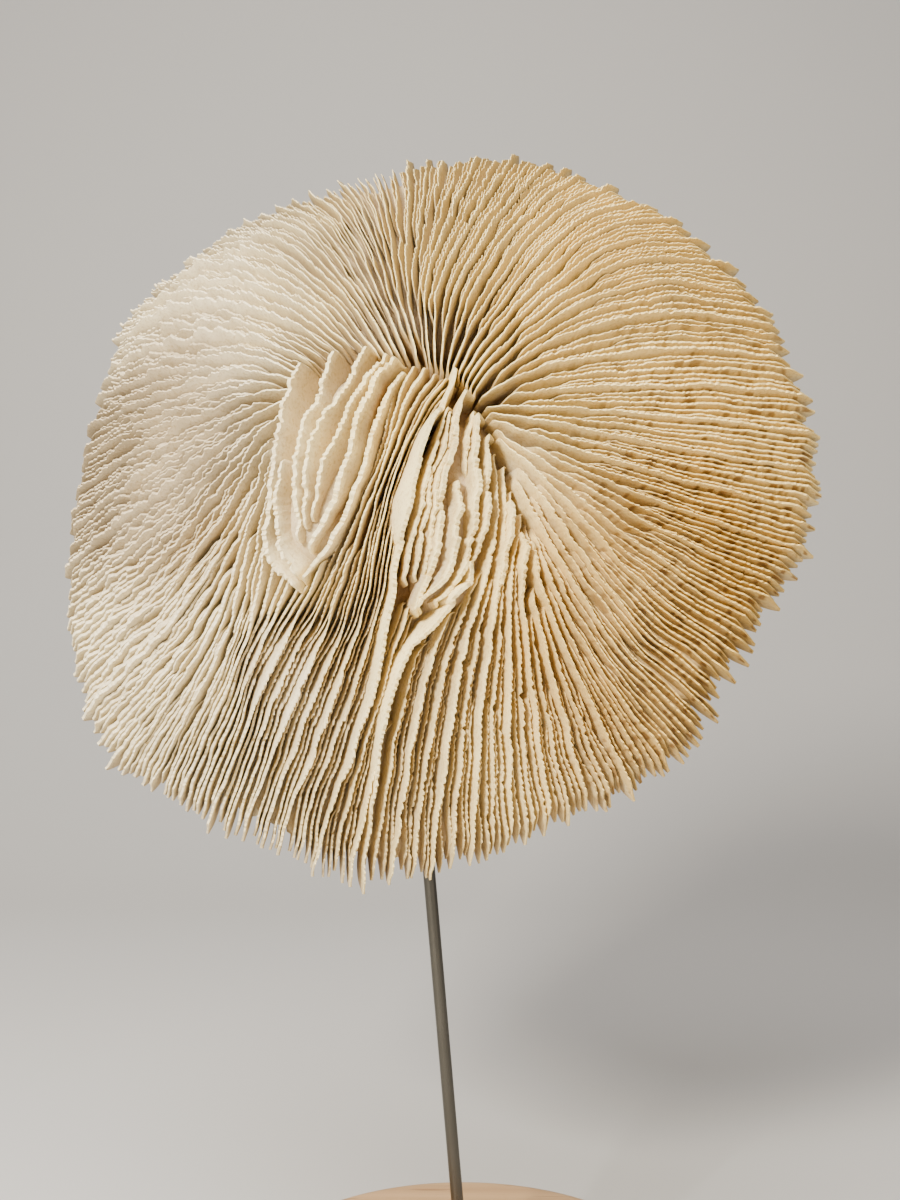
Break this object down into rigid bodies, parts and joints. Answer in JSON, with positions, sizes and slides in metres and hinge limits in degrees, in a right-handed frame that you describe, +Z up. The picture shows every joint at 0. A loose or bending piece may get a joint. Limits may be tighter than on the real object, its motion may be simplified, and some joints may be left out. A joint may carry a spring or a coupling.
{
  "type": "mounted mushroom coral",
  "caption": "Bleached mushroom coral skeleton with thin radiating septa round a slit mouth, held up face-on by a thin steel rod on a round wooden base.",
  "frame": {"origin": "middle of the wooden base's underside", "axes": "+Z up from the base, the coral's ridged face looks to -Y, +X to the right seen from the front"},
  "size_m": [0.1635, 0.1058, 0.2592],
  "materials": {
    "coral": "matte",
    "rod": "satin",
    "base": "satin"
  },
  "bodies": {
    "root": {"coral": "coral", "rod": "rod", "base": "base"}
  },
  "joints": []
}
